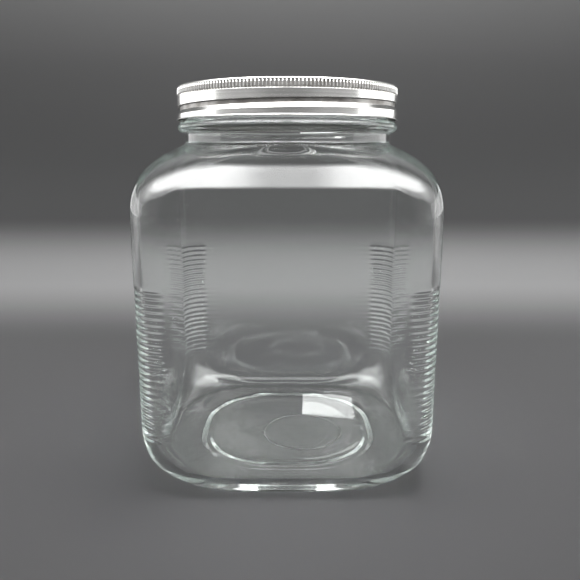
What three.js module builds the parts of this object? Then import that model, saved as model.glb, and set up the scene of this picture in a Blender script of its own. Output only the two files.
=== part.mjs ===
// Square glass canister with ribbed corners, a round neck and a screw-on metal lid.
// Millimetres, +Z up. The origin is the centre of the base, on the surface that the jar stands on.
import * as THREE from "three";

// Body: a square with rounded corners in plan
const bodyHalf = 81;
const cornerRadius = 20;
const wall = 4.2;

// Shoulder: the wall turns in while its corners grow until the plan is round
const shoulderStart = 144;
const shoulderHeight = 42.5;
const shoulderTopHalf = 63;
const shoulderPower = 4; // how late the wall turns in
const cornerPower = 3; // how late the flat sides give way to round ones
const insideStart = 147; // the inside of the shoulder turns in a little higher and faster
const insideHeight = 38.8;
const insideTopHalf = 57;

// Heel: the wall rounds in to the base, and the corners round off much more than the sides
const heelInset = 7;
const heelHeight = 12;
const baseFlatHalf = 20; // half the flat width that is left at the base
const baseCornerHeight = 36; // how far up the corners the rounding reaches

// Base: a push-up inside a bearing ring, and the floor of the cavity
const ringHalf = 56;
const ringFlatHalf = 10;
const footHalf = 62; // outside the ring the underside lifts a little towards the heel
const footRise = 0.6;
const pushUp = 2.5;
const pushUpSlope = 4.5;
const floorTop = 6;
const floorInset = 6; // the rounding between the floor of the cavity and its walls
const floorRise = 8;
const insideLift = 2; // how much higher the corners of the cavity round off than those outside

// Ribs: grooves round the corners, with the crests flush with the wall
const ribCount = 24;
const ribPitch = 3.5;
const ribBottom = 31;
const ribDepth = 0.35;
const ribFade = THREE.MathUtils.degToRad(14); // how far from the flat side a rib reaches its full depth

// Neck and finish, which are round
const neckRadius = 60.6;
const mouthRadius = 56;
const neckBottom = 188.8;
const insideNeckBottom = 187;
const beadRadius = 65;
const beadBottom = 193.6;
const beadTop = 200.2;
const lipRound = 1.2;

// Screw thread, shared by the glass and the lid
const threadPitch = 5.08;
const threadFade = 0.09; // share of a turn over which each end of the thread runs out
const threadHeight = 1.3;
const threadAboveGroove = 2.8;
const threadForm = [[-1.3, 0], [-0.4, 1], [0.4, 1], [1.3, 0]]; // height from its middle, share of its depth

// Lid: one sheet of metal with a rolled thread groove and a curled rim
const lidTop = 219.3;
const sheet = 0.6;
const lidRadius = 64.4;
const lidRound = 1.2;
const grooveHeight = 208.4; // at the front
const grooveDepth = 1.4;
const grooveForm = [[-3.5, 0], [-1.2, 1], [0.75, 1], [1.15, 0]]; // as threadForm, with a long lower flank
const skirtRadius = 64.4;
const rimRadius = 65.4;
const rimBottom = 200.8;
const rimHeight = 0.9;
const seat = 0.3; // free height between the lip of the glass and the lid

const jarSegments = 40;
const lidSegments = 72;
const arcSteps = 6;

const flatHalf = bodyHalf - cornerRadius; // half the width of each flat side
const lipTop = lidTop - sheet - seat;

// One level of a swept surface. half is the distance from the axis to the middle of a side.
// spread is how far the four quarters of the circle are moved apart, so 0 is round. rib is how deep
// the corner ribs cut, bump how far the thread stands out, and helix whether the level climbs with it.
function level(half, z, spread = 0, extra = {}) {
  return { half, z, spread, rib: 0, bump: 0, helix: 0, ...extra };
}

// Points of a round arc in the plane of half and z, by angle from the outward direction.
function arc(centreHalf, centreZ, radius, from, to, steps = arcSteps) {
  return Array.from({ length: steps + 1 }, (_, i) => {
    const angle = from + ((to - from) * i) / steps;
    return [centreHalf + radius * Math.cos(angle), centreZ + radius * Math.sin(angle)];
  });
}

// How strongly the thread stands out at a share of a turn from the back, and its climb from the front.
function threadAt(turn) {
  const fromEnd = Math.min(turn, 1 - turn);
  const strength = THREE.MathUtils.smoothstep(fromEnd, 0, threadFade);
  return { strength, climb: threadPitch * (turn - 0.5) * strength };
}

// How strongly a rib cuts at an angle inside its corner, from one flat side to the other.
function ribAt(angle) {
  const fromFlat = Math.min(angle, Math.PI / 2 - angle);
  return THREE.MathUtils.smoothstep(fromFlat, 0, ribFade);
}

// Turns the levels round the axis, then moves the quarters apart to make rounded squares of the circles.
function sweep(levels, segments) {
  const profile = levels.map((l) => new THREE.Vector2(l.half - l.spread, l.z));
  const halfStep = Math.PI / segments;
  const geometry = new THREE.LatheGeometry(profile, segments, Math.PI + halfStep);
  geometry.rotateX(Math.PI / 2);
  const position = geometry.getAttribute("position");
  for (let i = 0; i < position.count; i++) {
    const l = levels[i % levels.length];
    const thread = threadAt(Math.floor(i / levels.length) / segments);
    const x = position.getX(i);
    const y = position.getY(i);
    const radius = Math.hypot(x, y);
    if (radius === 0) continue;
    const rib = l.rib * ribAt(Math.atan2(Math.abs(y), Math.abs(x)));
    const grown = radius / Math.cos(halfStep) + l.bump * thread.strength - rib;
    position.setXYZ(
      i,
      (x / radius) * grown + Math.sign(x) * l.spread,
      (y / radius) * grown + Math.sign(y) * l.spread,
      l.z + l.helix * thread.climb,
    );
  }
  return geometry;
}

// Half the flat width of a side near its foot, where the flats grow from the base up to the corners.
function flatAt(z) {
  const below = Math.max(0, 1 - z / baseCornerHeight);
  return flatHalf - (flatHalf - baseFlatHalf) * below * below;
}

function outerWall(half, z, rib = 0) {
  return level(half, z, flatAt(z), { rib });
}

function innerWall(half, z) {
  return level(half, z, flatAt(z - insideLift));
}

// A wall that rounds in to its foot, from the foot up.
function heel(wallLevel, half, inset, foot, rise) {
  return Array.from({ length: arcSteps + 1 }, (_, i) => {
    const angle = (Math.PI / 2) * (i / arcSteps);
    return wallLevel(half - inset * (1 - Math.sin(angle)), foot + rise * (1 - Math.cos(angle)));
  });
}

// The shoulder from the wall to the neck, outside (inset 0) or inside (inset by the wall).
function shoulder(inset, steps) {
  const half = bodyHalf - inset;
  const topHalf = inset ? insideTopHalf : shoulderTopHalf;
  const start = inset ? insideStart : shoulderStart;
  const height = inset ? insideHeight : shoulderHeight;
  return Array.from({ length: steps + 1 }, (_, i) => {
    const u = Math.sin((Math.PI / 2) * (i / steps));
    const a = half - (half - topHalf) * u ** shoulderPower;
    return level(a, start + height * u, flatHalf * (1 - u ** cornerPower));
  });
}

// A ridge or groove of the thread, as levels from its lower edge to its upper edge.
function threadBand(radius, z, form, bump) {
  return form.map(([above, share]) => level(radius, z + above, 0, { helix: 1, bump: bump * share }));
}

function ribs() {
  const levels = [outerWall(bodyHalf, ribBottom)];
  for (let i = 0; i < ribCount; i++) {
    const z = ribBottom + i * ribPitch;
    levels.push(outerWall(bodyHalf, z + ribPitch / 2, ribDepth));
    levels.push(outerWall(bodyHalf, z + ribPitch));
  }
  return levels;
}

// The collar of glass under the lid, half an ellipse in section.
function bead() {
  const middle = (beadBottom + beadTop) / 2;
  const height = (beadTop - beadBottom) / 2;
  const reach = beadRadius - neckRadius;
  return [-1, -0.7, -0.25, 0.25, 0.7, 1].map((share) =>
    level(neckRadius + reach * Math.sqrt(1 - share * share), middle + height * share),
  );
}

// The outside from the middle of the push-up to the foot of the ribs.
function baseLevels() {
  const underside = [
    level(0, pushUp),
    level(ringHalf - pushUpSlope, pushUp, ringFlatHalf),
    level(ringHalf, 0, ringFlatHalf),
    level(footHalf, 0, ringFlatHalf),
  ];
  const outerHeel = heel(outerWall, bodyHalf, heelInset, footRise, heelHeight - footRise);
  const upright = [1 / 3, 2 / 3].map((share) =>
    outerWall(bodyHalf, heelHeight + (ribBottom - heelHeight) * share),
  );
  return [...underside, ...outerHeel, ...upright];
}

// The inside from the shoulder down to the middle of the floor.
function cavityLevels() {
  const half = bodyHalf - wall;
  const roundTop = floorTop + floorRise;
  const cornerTop = baseCornerHeight + insideLift;
  const upright = [1, 2 / 3, 1 / 3].map((share) =>
    innerWall(half, roundTop + (cornerTop - roundTop) * share),
  );
  const floor = heel(innerWall, half, floorInset, floorTop, floorRise).reverse();
  return [...shoulder(wall, 6).reverse(), ...upright, ...floor, level(0, floorTop)];
}

function glassJar() {
  const lip = [
    level(neckRadius, lipTop - lipRound),
    level(neckRadius - lipRound, lipTop),
    level(mouthRadius + lipRound, lipTop),
    level(mouthRadius, lipTop - lipRound),
  ];
  const thread = threadBand(neckRadius, grooveHeight + threadAboveGroove, threadForm, threadHeight);
  const neck = [level(neckRadius, neckBottom), ...bead(), ...thread];
  const inside = [level(mouthRadius, insideNeckBottom), ...cavityLevels()];
  return sweep([...baseLevels(), ...ribs(), ...shoulder(0, 8), ...neck, ...lip, ...inside], jarSegments);
}

function screwLid() {
  const inner = lidRadius - sheet;
  const roundHalf = lidRadius - lidRound;
  const roundZ = lidTop - lidRound;
  const rimTop = rimBottom + rimHeight;
  const rimMiddle = rimBottom + rimHeight / 2;
  const rim = [level(skirtRadius, rimBottom), level(rimRadius, rimMiddle), level(skirtRadius, rimTop)];
  const outside = [
    ...threadBand(lidRadius, grooveHeight, grooveForm, -grooveDepth),
    ...arc(roundHalf, roundZ, lidRound, 0, Math.PI / 2, 3).map(([r, z]) => level(r, z)),
    level(0, lidTop),
  ];
  const inside = [
    level(0, lidTop - sheet),
    ...arc(roundHalf, roundZ, lidRound - sheet, Math.PI / 2, 0, 2).map(([r, z]) => level(r, z)),
    ...threadBand(inner, grooveHeight, grooveForm, -grooveDepth).reverse(),
    level(skirtRadius - sheet, rimTop),
    level(skirtRadius - sheet, rimMiddle),
  ];
  return sweep([...rim, ...outside, ...inside, rim[0]], lidSegments);
}

const glass = new THREE.MeshStandardMaterial({
  color: 0xdde6e2,
  roughness: 0.04,
  metalness: 0,
  transparent: true,
  opacity: 0.35,
});
const brushedMetal = new THREE.MeshStandardMaterial({ color: 0xc8c7c2, roughness: 0.38, metalness: 1 });

function piece(name, geometry, material) {
  const mesh = new THREE.Mesh(geometry, material);
  mesh.name = name;
  return mesh;
}

const canister = new THREE.Group();
canister.add(piece("glass_jar", glassJar(), glass));
canister.add(piece("screw_lid", screwLid(), brushedMetal));

export default canister;
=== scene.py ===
import bpy
from math import atan2, ceil, cos, hypot, pi, radians, sin
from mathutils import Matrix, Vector


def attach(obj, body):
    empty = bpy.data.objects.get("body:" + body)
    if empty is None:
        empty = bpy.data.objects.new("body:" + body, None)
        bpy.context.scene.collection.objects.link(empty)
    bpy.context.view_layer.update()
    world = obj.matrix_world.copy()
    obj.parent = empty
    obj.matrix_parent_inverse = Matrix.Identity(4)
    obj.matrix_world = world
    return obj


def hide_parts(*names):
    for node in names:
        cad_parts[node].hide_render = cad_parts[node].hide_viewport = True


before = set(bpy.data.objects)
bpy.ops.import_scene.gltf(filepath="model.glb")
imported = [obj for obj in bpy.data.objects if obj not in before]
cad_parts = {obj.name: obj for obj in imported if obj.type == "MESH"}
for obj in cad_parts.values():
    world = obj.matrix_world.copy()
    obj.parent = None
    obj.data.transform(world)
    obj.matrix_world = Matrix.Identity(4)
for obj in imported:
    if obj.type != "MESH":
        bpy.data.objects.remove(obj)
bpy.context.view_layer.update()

mm = 0.001


# shared helpers

def smooth(value, low, high):
    share = min(max((value - low) / (high - low), 0), 1)
    return share * share * (3 - 2 * share)


def arc(centre, radius, start, end, steps):
    angles = [start + (end - start) * i / steps for i in range(steps + 1)]
    return [(centre[0] + radius * cos(a), centre[1] + radius * sin(a)) for a in angles]


def between(low, high, step):
    count = max(1, ceil(abs(high - low) / step))
    return [low + (high - low) * i / count for i in range(count + 1)]


# one ring of a swept wall: half is axis to side, spread moves the four quarters of a circle apart,
# bump and helix follow the thread, mark is kept on the mesh and shift moves the ring off centre
def level(half, z, spread=0.0, bump=0.0, helix=0.0, mark=0.0, shift=0.0):
    return {"half": half, "z": z, "spread": spread, "bump": bump,
            "helix": helix, "mark": mark, "shift": shift}


# adds a level close to each end of a long step, so that smooth shading keeps its edges crisp
def crisp(levels, gap=0.1):
    close = []
    for low, high in zip(levels, levels[1:] + [None]):
        close.append(low)
        if high is None:
            continue
        long = hypot(high["half"] + high["bump"] - low["half"] - low["bump"], high["z"] - low["z"])
        if long > 3 * gap:
            for share in (gap / long, 1 - gap / long):
                close.append({key: low[key] + (high[key] - low[key]) * share for key in low})
    return close


# joins the rings into a closed skin; a level on the axis is a single point
def sweepSkin(name, levels, ringOf, closed=False):
    verts, rows, marks = [], [], []
    for item in levels:
        points = ringOf(item) if item["half"] > 0 else [(0, 0, item["z"])]
        rows.append(list(range(len(verts), len(verts) + len(points))))
        verts += [(x * mm, y * mm, z * mm) for x, y, z in points]
        marks += [item["mark"]] * len(points)
    pairs = list(zip(rows, rows[1:])) + ([(rows[-1], rows[0])] if closed else [])
    faces = []
    for low, high in pairs:
        count = max(len(low), len(high))
        for i in range(count if count > 1 else 0):
            j = (i + 1) % count
            ends = [low[0]] if len(low) == 1 else [low[i], low[j]]
            faces.append(ends + ([high[0]] if len(high) == 1 else [high[j], high[i]]))
    mesh = bpy.data.meshes.new(name)
    mesh.from_pydata(verts, [], faces)
    mesh.attributes.new("mark", "FLOAT", "POINT").data.foreach_set("value", marks)
    mesh.polygons.foreach_set("use_smooth", [True] * len(mesh.polygons))
    mesh.update()
    piece = bpy.data.objects.new(name, mesh)
    bpy.context.scene.collection.objects.link(piece)
    return piece


# makes a plain mesh of what a piece's modifier gives, then drops the modifier
def settle(piece):
    graph = bpy.context.evaluated_depsgraph_get()
    mesh = bpy.data.meshes.new_from_object(piece.evaluated_get(graph), depsgraph=graph)
    piece.modifiers.clear()
    piece.data = mesh
    mesh.name = piece.name
    return piece


# a small writer for node trees
class Tree:
    def __init__(self, tree):
        self.tree = tree

    def add(self, kind, wires=None, **settings):
        node = self.tree.nodes.new(kind)
        for key, value in settings.items():
            setattr(node, key, value)
        for key, value in (wires or {}).items():
            if isinstance(value, bpy.types.NodeSocket):
                self.tree.links.new(value, node.inputs[key])
            else:
                node.inputs[key].default_value = value
        return node

    def math(self, operation, a, b=0.0, c=0.0):
        return self.add("ShaderNodeMath", {0: a, 1: b, 2: c}, operation=operation).outputs[0]

    def remap(self, value, low, high, toLow=0.0, toHigh=1.0, kind="SMOOTHSTEP"):
        wires = {"Value": value, 1: low, 2: high, 3: toLow, 4: toHigh}
        return self.add("ShaderNodeMapRange", wires, interpolation_type=kind).outputs[0]

    def blend(self, share, a, b):
        return self.add("ShaderNodeMix", {0: share, 6: a, 7: b}, data_type="RGBA").outputs[2]

    def join(self, x=0.0, y=0.0, z=0.0):
        return self.add("ShaderNodeCombineXYZ", {0: x, 1: y, 2: z}).outputs[0]

    def split(self, vector):
        return self.add("ShaderNodeSeparateXYZ", {0: vector}).outputs


def newGeometryTree(name, sizes):
    tree = bpy.data.node_groups.new(name, "GeometryNodeTree")
    tree.interface.new_socket("Geometry", in_out="INPUT", socket_type="NodeSocketGeometry")
    tree.interface.new_socket("Geometry", in_out="OUTPUT", socket_type="NodeSocketGeometry")
    for key, value in sizes.items():
        kind = "NodeSocketInt" if isinstance(value, int) else "NodeSocketFloat"
        tree.interface.new_socket(key, in_out="INPUT", socket_type=kind).default_value = value
    return tree


# puts a tree on a piece with each input set by its identifier
def runTree(piece, tree, sizes):
    modifier = piece.modifiers.new(tree.name, "NODES")
    modifier.node_group = tree
    for socket in tree.interface.items_tree:
        if socket.in_out == "INPUT" and socket.name in sizes:
            modifier[socket.identifier] = sizes[socket.name]
    return settle(piece)


def newMaterial(name):
    material = bpy.data.materials.new(name)
    material.use_nodes = True
    tree = Tree(material.node_tree)
    return material, tree, material.node_tree.nodes["Principled BSDF"]


# screw thread shared by the neck and the lid, right-handed, run out at the back

thread = {"pitch": 5.08, "fade": 0.09, "height": 208.4}


def threadAt(x, y):
    turn = (atan2(x, -y) / (2 * pi) + 0.5) % 1
    strength = smooth(min(turn, 1 - turn), 0, thread["fade"])
    return strength, thread["pitch"] * (turn - 0.5) * strength


# glass jar

jar = {
    "half": 81.0, "corner": 20.0, "wall": 4.2,
    "shoulderStart": 144.0, "shoulderHeight": 42.5, "shoulderTop": 63.0,
    "insideStart": 147.0, "insideHeight": 38.8, "insideTop": 57.0,
    "shoulderPower": 4, "cornerPower": 3, "filletLift": 0.8,
    "heelInset": 7.0, "heelHeight": 12.0, "baseFlat": 20.0, "baseCornerHeight": 36.0,
    "ringHalf": 56.0, "ringFlat": 10.0, "footHalf": 62.0, "footRise": 0.6, "footCurve": 1.4,
    "pushUp": 1.6, "pushUpSlope": 4.5, "pushUpShares": (0.3, 0.6, 0.85), "moat": 2.7, "moatWide": 4.5,
    "floor": 6.0, "floorInset": 6.0, "floorRise": 8.0, "floorShare": 0.8, "insideLift": 2.0,
    "neck": 60.6, "mouth": 56.0, "neckBottom": 188.8, "insideNeck": 187.0, "lipTop": 218.4, "lipRound": 2.0,
    "bead": 65.0, "beadBottom": 193.6, "beadTop": 200.2, "beadFoot": 0.8,
    "threadHeight": 1.3, "threadAbove": 2.8, "threadWidth": 2.6, "threadFlat": 0.15,
}
# how finely the glass is divided: steps are counts, the rest are heights in millimetres
fine = {
    "sideSteps": 8, "cornerSteps": 24, "baseSteps": 8, "heelSteps": 20, "shoulderSteps": 32,
    "insideSteps": 30, "filletSteps": 6, "beadSteps": 20, "threadSteps": 8, "lipSteps": 6,
    "footTall": 1.5, "ribTall": 0.35, "wallTall": 3.0, "neckTall": 1.5, "mouthTall": 4.0, "insideTall": 2.5,
}
ribs = {
    "Bottom": 0.031, "Pitch": 0.0035, "Count": 24, "Depth": 0.00035, "Corner": 0.061, "Fade": radians(14),
}
flatHalf = jar["half"] - jar["corner"]
# faint raised circle in the floor, a little off centre
mouldCircle = {
    "centre": (9.6, -10.0), "radius": 24.6, "wide": 0.7, "margin": 0.6, "rise": 0.34, "steps": 8,
}


# points of a rounded square, which are even round a circle where spread is 0
def jarRing(item):
    spread, radius = item["spread"], item["half"] - item["spread"]
    sides, corners = fine["sideSteps"], fine["cornerSteps"]
    lean = pi / 4 * sides / (sides + corners) * (1 - min(spread / flatHalf, 1)) ** 2
    local = [(spread + radius * cos(lean * s), spread * s + radius * sin(lean * s))
             for s in [2 * i / sides - 1 for i in range(sides + 1)]]
    local += [(spread + radius * cos(a), spread + radius * sin(a))
              for a in [lean + (pi / 2 - 2 * lean) * i / corners for i in range(1, corners)]]
    points = []
    for turn in range(4):
        c, s = cos(turn * pi / 2), sin(turn * pi / 2)
        points += [(x * c - y * s, x * s + y * c) for x, y in local]
    ring = []
    moveX, moveY = [item["shift"] * value for value in mouldCircle["centre"]]
    for x, y in points:
        strength, climb = threadAt(x, y)
        grow = 1 + item["bump"] * strength / hypot(x, y)
        ring.append((x * grow + moveX, y * grow + moveY, item["z"] + item["helix"] * climb))
    return ring


# half the flat width of a side near its foot, where the corners round off
def flatAt(z):
    below = max(0.0, 1 - z / jar["baseCornerHeight"])
    return flatHalf - (flatHalf - jar["baseFlat"]) * below * below


def outerWall(half, z, mark=0.0):
    return level(half, z, flatAt(z), mark=mark)


def innerWall(half, z):
    return level(half, z, flatAt(z - jar["insideLift"]))


# a wall that rounds in to its foot, from the foot up
def heel(wallLevel, half, inset, foot, rise, steps):
    angles = [pi / 2 * i / steps for i in range(steps + 1)]
    return [wallLevel(half - inset * (1 - sin(a)), foot + rise * (1 - cos(a))) for a in angles]


def shoulderLevels(inset, steps):
    half = jar["half"] - inset
    side = "inside" if inset else "shoulder"
    start, height, top = [jar[side + key] for key in ("Start", "Height", "Top")]
    levels = []
    for i in range(steps + 1):
        u = sin(pi / 2 * i / steps)
        a = half - (half - top) * u ** jar["shoulderPower"]
        levels.append(level(a, start + height * u, flatHalf * (1 - u ** jar["cornerPower"])))
    return levels


# a soft turn from the slope of the shoulder into the upright neck
def neckFillet(last, radius, bottom):
    levels = []
    lifted = last["z"] + jar["filletLift"]
    for i in range(1, fine["filletSteps"] + 1):
        u = i / fine["filletSteps"]
        a = (1 - u) ** 2 * last["half"] + (1 - (1 - u) ** 2) * radius
        z = (1 - u) ** 2 * last["z"] + 2 * u * (1 - u) * lifted + u * u * bottom
        levels.append(level(a, z))
    return levels


def underside():
    top, low, flat = jar["moat"], jar["pushUp"], jar["ringFlat"]
    edge = jar["ringHalf"] - jar["pushUpSlope"]
    middle, steps = edge - jar["moatWide"], fine["baseSteps"]
    levels = [level(0, low)]
    levels += [level(middle * share, low, flat * share) for share in jar["pushUpShares"]]
    for i in range(steps + 1):  # the push-up is a little deeper along its edge
        u = i / steps
        levels.append(level(middle + jar["moatWide"] * u, low + (top - low) * smooth(u, 0, 1), flat))
    for i in range(1, steps + 1):  # it drops from there to the bearing ring
        u = i / steps
        levels.append(level(edge + jar["pushUpSlope"] * u, top * (1 - smooth(u, 0, 1)), flat))
    rise, foot, reach = jar["footRise"], jar["footHalf"], jar["half"] - jar["heelInset"]
    for i in range(steps + 1):  # beyond the ring the underside lifts a little towards the heel
        u = i / (steps + 1)
        spread = flat + (flatAt(rise) - flat) * smooth(u, 0, 1)
        levels.append(level(foot + (reach - foot) * u, rise * u ** jar["footCurve"], spread))
    tall = jar["heelHeight"] - rise
    return levels + heel(outerWall, jar["half"], jar["heelInset"], rise, tall, fine["heelSteps"])


def neckLevels():
    neck, middle = jar["neck"], (jar["beadBottom"] + jar["beadTop"]) / 2
    neckZ = between(jar["neckBottom"], jar["beadBottom"] - jar["beadFoot"], fine["neckTall"])
    levels = [level(neck, z) for z in neckZ[1:]]
    for i in range(fine["beadSteps"] + 1):  # collar of glass, half an ellipse in section
        u = sin(pi / 2 * (i / (fine["beadSteps"] / 2) - 1))
        rise = max(0.0, 1 - u * u) ** 0.5
        levels.append(level(neck + (jar["bead"] - neck) * rise, middle + (jar["beadTop"] - middle) * u))
    threadZ = thread["height"] + jar["threadAbove"]
    for i in range(fine["threadSteps"] + 1):
        u = i / (fine["threadSteps"] / 2) - 1
        bump = jar["threadHeight"] * (1 - smooth(abs(u), jar["threadFlat"], 1))
        levels.append(level(neck, threadZ + u * jar["threadWidth"] / 2, bump=bump, helix=1.0))
    lipRound, steps = jar["lipRound"], fine["lipSteps"]
    lipZ = jar["lipTop"] - lipRound
    lip = arc((neck - lipRound, lipZ), lipRound, 0, pi / 2, steps)
    lip += arc((jar["mouth"] + lipRound, lipZ), lipRound, pi / 2, pi, steps)
    return levels + [level(a, z) for a, z in lip]


def circleLevels(floor):
    radius, wide, steps = mouldCircle["radius"], mouldCircle["wide"], mouldCircle["steps"]
    reach = wide + mouldCircle["margin"]
    levels = [level(radius + reach, floor, shift=1.0)]
    for i in range(steps + 1):
        u = 1 - 2 * i / steps
        lift = mouldCircle["rise"] * (1 - smooth(abs(u), 0, 1))
        levels.append(level(radius + wide * u, floor + lift, shift=1.0))
    return levels + [level(radius - reach, floor, shift=1.0)]


# the inside, built up to the mouth and then turned round so that it runs down to the floor
def cavity():
    half, floor, mouth = jar["half"] - jar["wall"], jar["floor"], jar["mouth"]
    levels = shoulderLevels(jar["wall"], fine["insideSteps"])
    levels += neckFillet(levels[-1], mouth, jar["insideNeck"])
    mouthZ = between(levels[-1]["z"], jar["lipTop"] - jar["lipRound"], fine["mouthTall"])
    levels += [level(mouth, z) for z in mouthZ[1:-1]]
    levels.reverse()
    wallZ = between(levels[-1]["z"], floor + jar["floorRise"], fine["insideTall"])
    levels += [innerWall(half, z) for z in wallZ[1:-1]]
    levels += heel(innerWall, half, jar["floorInset"], floor, jar["floorRise"], fine["heelSteps"])[::-1]
    edge, share = levels[-1], jar["floorShare"]
    levels.append(level(edge["half"] * share, floor, edge["spread"] * share))
    return levels + circleLevels(floor) + [level(0, floor)]


def jarLevels():
    ribLow, ribHigh = ribs["Bottom"] / mm, (ribs["Bottom"] + ribs["Count"] * ribs["Pitch"]) / mm
    wallZ = between(jar["heelHeight"], ribLow, fine["footTall"])[1:]
    wallZ += between(ribLow, ribHigh, fine["ribTall"])[1:]
    wallZ += between(ribHigh, jar["shoulderStart"], fine["wallTall"])[1:-1]
    levels = underside() + [outerWall(jar["half"], z, mark=1.0) for z in wallZ]
    levels += shoulderLevels(0, fine["shoulderSteps"])
    levels += neckFillet(levels[-1], jar["neck"], jar["neckBottom"])
    return levels + neckLevels() + cavity()


# cuts the ribs into the corners: depth runs as a cosine up the wall and fades out towards the flats
def ribTree(material):
    tree = newGeometryTree("cornerRibs", ribs)
    t = Tree(tree)
    inputs = t.add("NodeGroupInput").outputs
    at = t.split(t.add("GeometryNodeInputPosition").outputs[0])
    past = [t.math("SUBTRACT", t.math("ABSOLUTE", at[i]), inputs["Corner"]) for i in (0, 1)]
    past = [t.math("MAXIMUM", value, 0.0) for value in past]
    angle = t.math("ARCTAN2", past[1], past[0])
    nearX = t.remap(angle, 0.0, inputs["Fade"])
    nearY = t.remap(t.math("SUBTRACT", pi / 2, angle), 0.0, inputs["Fade"])
    phase = t.math("DIVIDE", t.math("SUBTRACT", at[2], inputs["Bottom"]), inputs["Pitch"])
    above, below = t.math("GREATER_THAN", phase, 0.0), t.math("LESS_THAN", phase, inputs["Count"])
    wave = t.math("MULTIPLY_ADD", t.math("COSINE", t.math("MULTIPLY", phase, 2 * pi)), -0.5, 0.5)
    mark = t.add("GeometryNodeInputNamedAttribute", {"Name": "mark"}, data_type="FLOAT").outputs[0]
    depth = t.math("MULTIPLY", wave, inputs["Depth"])
    for share in (above, below, mark, nearX, nearY):
        depth = t.math("MULTIPLY", depth, share)
    towards = [t.math("MULTIPLY", past[i], t.math("SIGN", at[i])) for i in (0, 1)]
    outward = t.add("ShaderNodeVectorMath", {0: t.join(*towards)}, operation="NORMALIZE").outputs[0]
    back = t.math("MULTIPLY", depth, -1.0)
    inward = t.add("ShaderNodeVectorMath", {0: outward, "Scale": back}, operation="SCALE").outputs[0]
    moved = t.add("GeometryNodeSetPosition", {"Geometry": inputs["Geometry"], "Offset": inward})
    whole = t.add("GeometryNodeRealizeInstances", {"Geometry": moved.outputs[0]})
    painted = t.add("GeometryNodeSetMaterial", {"Geometry": whole.outputs[0], "Material": material})
    t.add("NodeGroupOutput", {"Geometry": painted.outputs[0]})
    return tree


glassLook = {
    "colour": (0.98, 0.99, 0.985, 1), "roughness": 0.01, "ior": 1.5,
    "tint": (0.765, 0.8, 0.787, 1), "tintDensity": 10.0,
    "rippleScale": (14, 14, 60), "rippleDetail": 1.5, "rippleFade": (0.155, 0.18),
    "rippleStrength": 0.12, "rippleHeight": 0.0012,
}


# clear glass with a slight tint where it is thick, and faint ripples below the shoulder
def clearGlass():
    material, t, shader = newMaterial("clearGlass")
    shader.inputs["Base Color"].default_value = glassLook["colour"]
    shader.inputs["Roughness"].default_value = glassLook["roughness"]
    shader.inputs["Transmission Weight"].default_value = 1.0
    shader.inputs["IOR"].default_value = glassLook["ior"]
    place = t.add("ShaderNodeTexCoord").outputs["Object"]
    stretched = t.add("ShaderNodeMapping", {"Vector": place, "Scale": glassLook["rippleScale"]}).outputs[0]
    noise = {"Vector": stretched, "Scale": 1.0, "Detail": glassLook["rippleDetail"]}
    ripple = t.add("ShaderNodeTexNoise", noise).outputs[0]
    ripple = t.math("MULTIPLY", ripple, t.remap(t.split(place)[2], *glassLook["rippleFade"], 1.0, 0.0))
    strength, distance = glassLook["rippleStrength"], glassLook["rippleHeight"]
    relief = {"Height": ripple, "Strength": strength, "Distance": distance}
    t.tree.links.new(t.add("ShaderNodeBump", relief).outputs[0], shader.inputs["Normal"])
    absorb = {"Color": glassLook["tint"], "Density": glassLook["tintDensity"]}
    tint = t.add("ShaderNodeVolumeAbsorption", absorb).outputs[0]
    t.tree.links.new(tint, t.tree.nodes["Material Output"].inputs["Volume"])
    return material


glass = clearGlass()
glassJar = sweepSkin("canister_glass", jarLevels(), jarRing)
glassJar.data.materials.append(glass)
runTree(glassJar, ribTree(glass), ribs)
print("glass jar:", len(glassJar.data.polygons), "faces")


# screw lid

lid = {
    "top": 219.3, "sheet": 0.6, "radius": 64.4, "round": 0.9, "roundIn": 0.3, "topRings": (60, 40, 20),
    "fluteBottom": 214.1, "fluteTop": 218.2, "fluteDepth": 0.7, "barSink": 0.02, "barOver": 0.5,
    "grooveDepth": 1.4, "flankFoot": 3.5, "flankShare": 0.9, "grooveLow": 1.6, "grooveTurn": (0.25, 0.5),
    "turnShare": 0.97, "turnMark": 0.6, "grooveHigh": 0.75, "highShare": 0.95, "grooveLip": 1.15,
    "rim": 65.4, "rimBottom": 200.95, "rimHeight": 0.6, "rimTurn": 0.4 * pi, "rimSeam": (0.05, 0.15),
    "seamDepth": 0.06, "insideShadeAndDull": 0.7,
    "steps": 288, "flankSteps": 8, "lipSteps": 6, "rimSteps": 10, "roundSteps": 8, "roundInSteps": 5,
}
knurl = {
    "Count": 204, "Radius": (lid["radius"] - lid["fluteDepth"]) * mm,
    "Proud": (lid["fluteDepth"] - lid["barSink"]) * mm, "Wide": 0.00046,
    "Middle": (lid["fluteBottom"] + lid["fluteTop"]) / 2 * mm,
    "Tall": (lid["fluteTop"] - lid["fluteBottom"] + lid["barOver"]) * mm,
}


def lidRing(item):
    ring = []
    for i in range(lid["steps"]):
        a = 2 * pi * i / lid["steps"]
        strength, climb = threadAt(cos(a), sin(a))
        r = item["half"] + item["bump"] * strength
        ring.append((r * cos(a), r * sin(a), item["z"] + item["helix"] * climb))
    return ring
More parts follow.
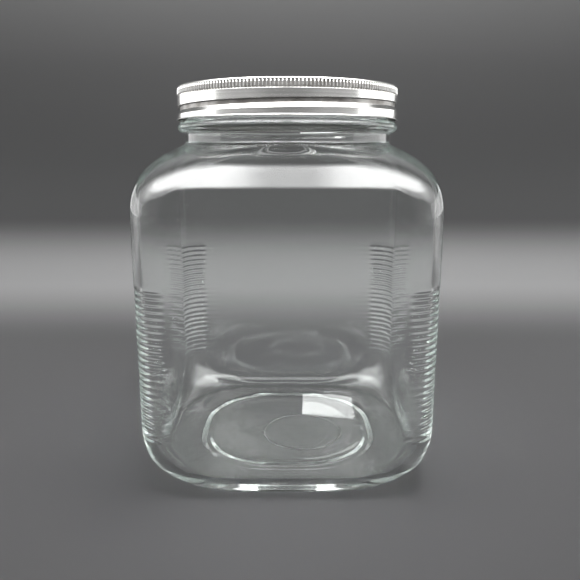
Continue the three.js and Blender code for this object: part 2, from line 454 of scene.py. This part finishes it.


# rolled groove: a straight lower flank, a narrow bottom and a sharp upper lip; mark tells how much painted
# shade and grime it gets
def grooveLevels(radius):
    depth, middle, foot = lid["grooveDepth"], thread["height"], lid["flankFoot"]
    low, high, highShare = -lid["grooveLow"], lid["grooveHigh"], lid["highShare"]
    flank, lip = lid["flankSteps"], lid["lipSteps"]
    shape = [(-foot + (foot + low) * i / flank, i / flank * lid["flankShare"], 0.0) for i in range(flank + 1)]
    shape += [(low + lid["grooveTurn"][0], lid["turnShare"], lid["turnMark"])]
    shape += [(low + lid["grooveTurn"][1], 1.0, 1.0), ((low + high) / 2, 1.0, 1.0), (high, highShare, 1.0)]
    for i in range(1, lip + 1):
        above = high + (lid["grooveLip"] - high) * i / lip
        shape.append((above, highShare * (1 - smooth(i, 0, lip)), 1 - i / lip))
    return [level(radius, middle + above, bump=-depth * share, helix=1.0, mark=mark)
            for above, share, mark in shape]


def lidLevels():
    radius, sheet, top = lid["radius"], lid["sheet"], lid["top"]
    rimRound = lid["rimHeight"] / 2
    rimZ = lid["rimBottom"] + rimRound
    rimTop = rimZ + rimRound
    flute = radius - lid["fluteDepth"]
    corner = (radius - lid["round"], top - lid["round"])
    rim = arc((lid["rim"] - rimRound, rimZ), rimRound, -pi / 2, lid["rimTurn"], lid["rimSteps"])
    levels = [level(r, z) for r, z in rim]
    levels += [level(radius, rimTop + lid["rimSeam"][0])]
    levels += [level(radius - lid["seamDepth"], rimTop + lid["rimSeam"][1])]
    levels += grooveLevels(radius)
    # the flute floors carry mark 1, so the metal paints them dark with shade and grime
    levels += [level(radius, lid["fluteBottom"]), level(flute, lid["fluteBottom"], mark=1.0)]
    levels += [level(flute, lid["fluteTop"], mark=1.0), level(radius, lid["fluteTop"])]
    levels += [level(r, z) for r, z in arc(corner, lid["round"], 0, pi / 2, lid["roundSteps"])]
    levels += [level(r, top) for r in lid["topRings"]] + [level(0, top)]
    inside = [level(0, top - sheet)]
    turn = arc(corner, lid["round"] - sheet, pi / 2, 0, lid["roundInSteps"])
    inside += [level(r - lid["roundIn"], z) for r, z in turn]
    inside += grooveLevels(radius - sheet)[::-1]
    inside += [level(radius - sheet, rimTop), level(radius - sheet, rimZ)]
    for item in inside:  # the inside of the sheet is rougher than the brushed outside and darkened with painted shade
        item["mark"] = max(item["mark"], lid["insideShadeAndDull"])
    return levels + inside


# the fine upright ridges round the upper edge, each a slim half-sunk bar with soft ends
def knurlTree(material):
    tree = newGeometryTree("lidKnurl", knurl)
    t = Tree(tree)
    inputs = t.add("NodeGroupInput").outputs
    circle = {"Vertices": inputs["Count"], "Radius": inputs["Radius"]}
    spots = t.add("GeometryNodeMeshCircle", circle).outputs[0]
    lift = t.join(z=inputs["Middle"])
    spots = t.add("GeometryNodeSetPosition", {"Geometry": spots, "Offset": lift}).outputs[0]
    at = t.split(t.add("GeometryNodeInputPosition").outputs[0])
    turn = t.join(z=t.math("ARCTAN2", at[1], at[0]))
    form = {"Vertices": 12, "Side Segments": 3, "Radius": 1.0, "Depth": 1.0}  # sized by the scale below
    bar = t.add("GeometryNodeMeshCylinder", form).outputs[0]
    size = t.join(inputs["Proud"], inputs["Wide"], inputs["Tall"])
    spread = {"Points": spots, "Instance": bar, "Rotation": turn, "Scale": size}
    copies = t.add("GeometryNodeInstanceOnPoints", spread)
    soft = t.add("GeometryNodeSetShadeSmooth", {"Geometry": copies.outputs[0]})
    both = t.add("GeometryNodeJoinGeometry")
    tree.links.new(soft.outputs[0], both.inputs[0])
    tree.links.new(inputs["Geometry"], both.inputs[0])
    whole = t.add("GeometryNodeRealizeInstances", {"Geometry": both.outputs[0]})
    painted = t.add("GeometryNodeSetMaterial", {"Geometry": whole.outputs[0], "Material": material})
    t.add("NodeGroupOutput", {"Geometry": painted.outputs[0]})
    return tree


metalLook = {
    "dark": (0.66, 0.655, 0.64, 1), "light": (0.8, 0.795, 0.775, 1), "shadeAndGrime": (0.12, 0.11, 0.1, 1),
    "brushAcross": 2600.0, "brushAlong": 9.0, "brushDetail": 3.0, "brushRange": (0.25, 0.75),
    "brushStrength": 0.06, "brushHeight": 0.0002,
    "blotScale": 160.0, "blotDetail": 4.0, "blotRange": (0.3, 0.7), "blotLeast": 0.7,
    "shadeGrimeShare": 0.92, "roughness": 0.16, "brushRough": 0.06, "shadeGrimeRough": 0.2,
}


# metal brushed round the axis, with painted shade and grime where the mark of the mesh is high
def brushedMetal():
    material, t, shader = newMaterial("brushedLidMetal")
    shader.inputs["Metallic"].default_value = 1.0
    place = t.add("ShaderNodeTexCoord").outputs["Object"]
    at = t.split(place)
    flat = t.join(at[0], at[1])
    out = t.add("ShaderNodeVectorMath", {0: flat}, operation="LENGTH").outputs["Value"]
    across = t.math("MULTIPLY", t.math("ADD", at[2], out), metalLook["brushAcross"])
    slow = [t.math("MULTIPLY", at[i], metalLook["brushAlong"]) for i in (0, 1)]
    noise = {"Vector": t.join(*slow, across), "Scale": 1.0, "Detail": metalLook["brushDetail"]}
    brush = t.add("ShaderNodeTexNoise", noise).outputs[0]
    groove = t.add("ShaderNodeAttribute", attribute_name="mark").outputs["Fac"]
    noise = {"Vector": place, "Scale": metalLook["blotScale"], "Detail": metalLook["blotDetail"]}
    blot = t.add("ShaderNodeTexNoise", noise).outputs[0]
    shadeAndDirt = t.math("MULTIPLY", groove, t.remap(blot, *metalLook["blotRange"], metalLook["blotLeast"], 1.0))
    shade = t.remap(brush, *metalLook["brushRange"], kind="LINEAR")
    clean = t.blend(shade, metalLook["dark"], metalLook["light"])
    # painted shade and grime: the metal goes darker where the mark is high, in the groove, the flutes and
    # inside the lid
    shadedAndGrimy = t.blend(t.math("MULTIPLY", shadeAndDirt, metalLook["shadeGrimeShare"]), clean, metalLook["shadeAndGrime"])
    t.tree.links.new(shadedAndGrimy, shader.inputs["Base Color"])
    rough = t.math("MULTIPLY_ADD", shade, metalLook["brushRough"], metalLook["roughness"])
    rough = t.math("MULTIPLY_ADD", shadeAndDirt, metalLook["shadeGrimeRough"], rough)
    t.tree.links.new(rough, shader.inputs["Roughness"])
    relief = {"Height": brush, "Strength": metalLook["brushStrength"], "Distance": metalLook["brushHeight"]}
    t.tree.links.new(t.add("ShaderNodeBump", relief).outputs[0], shader.inputs["Normal"])
    return material


metal = brushedMetal()
screwLid = sweepSkin("canister_lid", crisp(lidLevels()), lidRing, closed=True)
screwLid.data.materials.append(metal)
runTree(screwLid, knurlTree(metal), knurl)
print("screw lid:", len(screwLid.data.polygons), "faces")

for piece, node, slot in ((glassJar, "glass_jar", "glass"), (screwLid, "screw_lid", "lid_metal")):
    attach(piece, "root")
    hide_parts(node)


# floor, backdrop, light and camera

# the paper carries painted light and shade: it is dark on the floor, pale behind it, dim at the back and pale
# again above and to the sides
studio = {
    "floorHalf": 1.6, "floorDrop": 0.0004, "bend": 0.5, "bendRadius": 0.35, "bendSteps": 16,
    "backHeight": 1.6, "backStep": 0.2,
    "floorColour": (0.15, 0.15, 0.153, 1),
    "midColour": (0.61, 0.61, 0.615, 1), "midSpan": (0.2, 0.48),
    "backColour": (0.105, 0.105, 0.107, 1), "backSpan": (0.0, 0.07),
    "topColour": (0.8, 0.8, 0.8, 1), "topSpan": (0.15, 0.9),
    "wingColour": (0.8, 0.8, 0.8, 1), "wingSpan": (0.58, 0.8),
    "roughness": 0.8, "specular": 0.1, "aim": (0, 0, 0.14),
}
# light by direction: dim behind, brighter to the sides, and one broad soft box high in front
air = {
    "back": 0.1, "front": 0.16, "side": 0.24, "sideSpan": (0.2, 0.7), "edge": 0.14, "edgeSpan": (0.75, 0.97),
    "behindSpan": (0.8, 0.3),
    "box": 13.0, "boxLow": 0.36, "boxSide": 0.18, "boxTurn": (-0.5, -0.2), "boxFull": 0.46,
    "boxHigh": (0.99, 0.93), "boxBack": (0.45, -0.3),
    "gap": (0.03, 0.12), "gapShare": 0.42,
    "boxEnds": (0.26, 0.45), "endShare": 0.33, "endHigh": (0.52, 0.66),
}
# the lamp lights the floor, the side panels only gleam, and the card also shows through the glass
lights = {
    "lamp": {
        "at": (0.1, -0.1, 1.3), "size": (0.7, 0.7), "glow": 7.0, "gleam": False, "through": False,
    },
    "sideLeft": {
        "at": (-0.9, 0.3, 0.28), "size": (1.3, 0.3), "glow": 1.8, "gleam": True, "through": False,
    },
    "sideRight": {
        "at": (0.9, 0.3, 0.28), "size": (1.3, 0.3), "glow": 1.8, "gleam": True, "through": False,
    },
    "backCard": {
        "at": (0.08, 0.8, 0.343), "size": (0.106, 0.046), "glow": 4.0, "gleam": True, "through": True,
    },
}


def studioSweep():
    bend, radius, half = studio["bend"], studio["bendRadius"], studio["floorHalf"]
    line = [(-half, 0.0), (bend, 0.0)]
    line += [(bend + y, radius + z) for y, z in arc((0, 0), radius, -pi / 2, 0, studio["bendSteps"])][1:]
    line += [(bend + radius, z) for z in between(radius, studio["backHeight"], studio["backStep"])[1:]]
    verts = [(x, y, z - studio["floorDrop"]) for y, z in line for x in (-half, half)]
    faces = [(2 * i, 2 * i + 1, 2 * i + 3, 2 * i + 2) for i in range(len(line) - 1)]
    mesh = bpy.data.meshes.new("studioSweep")
    mesh.from_pydata(verts, [], faces)
    mesh.polygons.foreach_set("use_smooth", [True] * len(faces))
    stage = bpy.data.objects.new("studioSweep", mesh)
    bpy.context.scene.collection.objects.link(stage)
    mesh.materials.append(studioPaper())


def studioPaper():
    material, t, shader = newMaterial("studioPaper")
    at = t.split(t.add("ShaderNodeTexCoord").outputs["Object"])
    # painted light and shade: the pale and dark bands of the paper stand in for light falling on the sweep
    near = t.remap(at[1], *studio["midSpan"])
    paper = t.blend(near, studio["floorColour"], studio["midColour"])
    paper = t.blend(t.remap(at[2], *studio["backSpan"]), paper, studio["backColour"])
    paper = t.blend(t.remap(at[2], *studio["topSpan"]), paper, studio["topColour"])
    wing = t.math("MULTIPLY", t.remap(t.math("ABSOLUTE", at[0]), *studio["wingSpan"]), near)
    paper = t.blend(wing, paper, studio["wingColour"])
    t.tree.links.new(paper, shader.inputs["Base Color"])
    shader.inputs["Roughness"].default_value = studio["roughness"]
    shader.inputs["Specular IOR Level"].default_value = studio["specular"]
    return material


# soft air round the jar, which shows in glass and metal but leaves the floor to the lamp
def studioWorld():
    world = bpy.data.worlds.new("studioWorld")
    world.use_nodes = True
    bpy.context.scene.world = world
    t = Tree(world.node_tree)
    way = t.split(t.add("ShaderNodeTexCoord").outputs["Generated"])
    aside = t.math("ABSOLUTE", way[0])
    side = t.remap(aside, *air["sideSpan"], air["front"], air["front"] + air["side"])
    low = t.math("ADD", side, t.remap(aside, *air["edgeSpan"], 0.0, air["edge"]))
    low = t.math("MULTIPLY", low, t.remap(way[1], *air["behindSpan"]))
    foot = t.remap(way[1], *air["boxTurn"], air["boxLow"], air["boxSide"])
    ends = t.remap(aside, *air["boxEnds"], 1.0, air["endShare"])
    box = t.remap(way[2], foot, air["boxFull"])
    for share in (
        t.remap(way[2], *air["boxHigh"]),
        t.remap(way[1], *air["boxBack"]),
        t.remap(aside, *air["gap"], air["gapShare"], 1.0),
        t.math("MAXIMUM", ends, t.remap(way[2], *air["endHigh"])),
    ):
        box = t.math("MULTIPLY", box, share)
    glow = t.math("MULTIPLY_ADD", box, air["box"], t.math("ADD", low, air["back"]))
    background = world.node_tree.nodes["Background"]
    t.tree.links.new(glow, background.inputs["Strength"])
    background.inputs["Color"].default_value = (1, 1, 1, 1)
    world.cycles_visibility.diffuse = False


def studioLights():
    for name, spec in lights.items():
        data = bpy.data.lights.new(name, "AREA")
        data.shape = "RECTANGLE"
        data.size, data.size_y = spec["size"]
        data.energy = spec["glow"] * pi * data.size * data.size_y
        lamp = bpy.data.objects.new(name, data)
        lamp.location = spec["at"]
        lamp.rotation_mode = "QUATERNION"
        lamp.rotation_quaternion = (Vector(studio["aim"]) - lamp.location).to_track_quat("-Z", "Y")
        lamp.visible_camera = False
        lamp.visible_diffuse = not spec["gleam"]
        lamp.visible_glossy = spec["gleam"]
        lamp.visible_transmission = spec["through"]
        bpy.context.scene.collection.objects.link(lamp)


camera = {
    "at": (0.0016, -0.3737, 0.1827), "down": 12.84, "clip": 0.01,
    "focalPixels": 602.3, "framePixels": 580, "sensor": 36.0,
}


def addCamera():
    data = bpy.data.cameras.new("camera")
    data.sensor_width = camera["sensor"]
    data.lens = camera["focalPixels"] / camera["framePixels"] * camera["sensor"]
    data.clip_start = camera["clip"]
    eye = bpy.data.objects.new("camera", data)
    eye.location = camera["at"]
    eye.rotation_euler = (radians(90 - camera["down"]), 0, 0)
    bpy.context.scene.collection.objects.link(eye)
    bpy.context.scene.camera = eye


studioSweep()
studioWorld()
studioLights()
addCamera()
# light turns often inside the glass
bounces = {"max_bounces": 160, "glossy_bounces": 128, "transmission_bounces": 128}
for key, count in bounces.items():
    setattr(bpy.context.scene.cycles, key, count)
bpy.context.scene.view_settings.view_transform = "Standard"
print("studio ready")
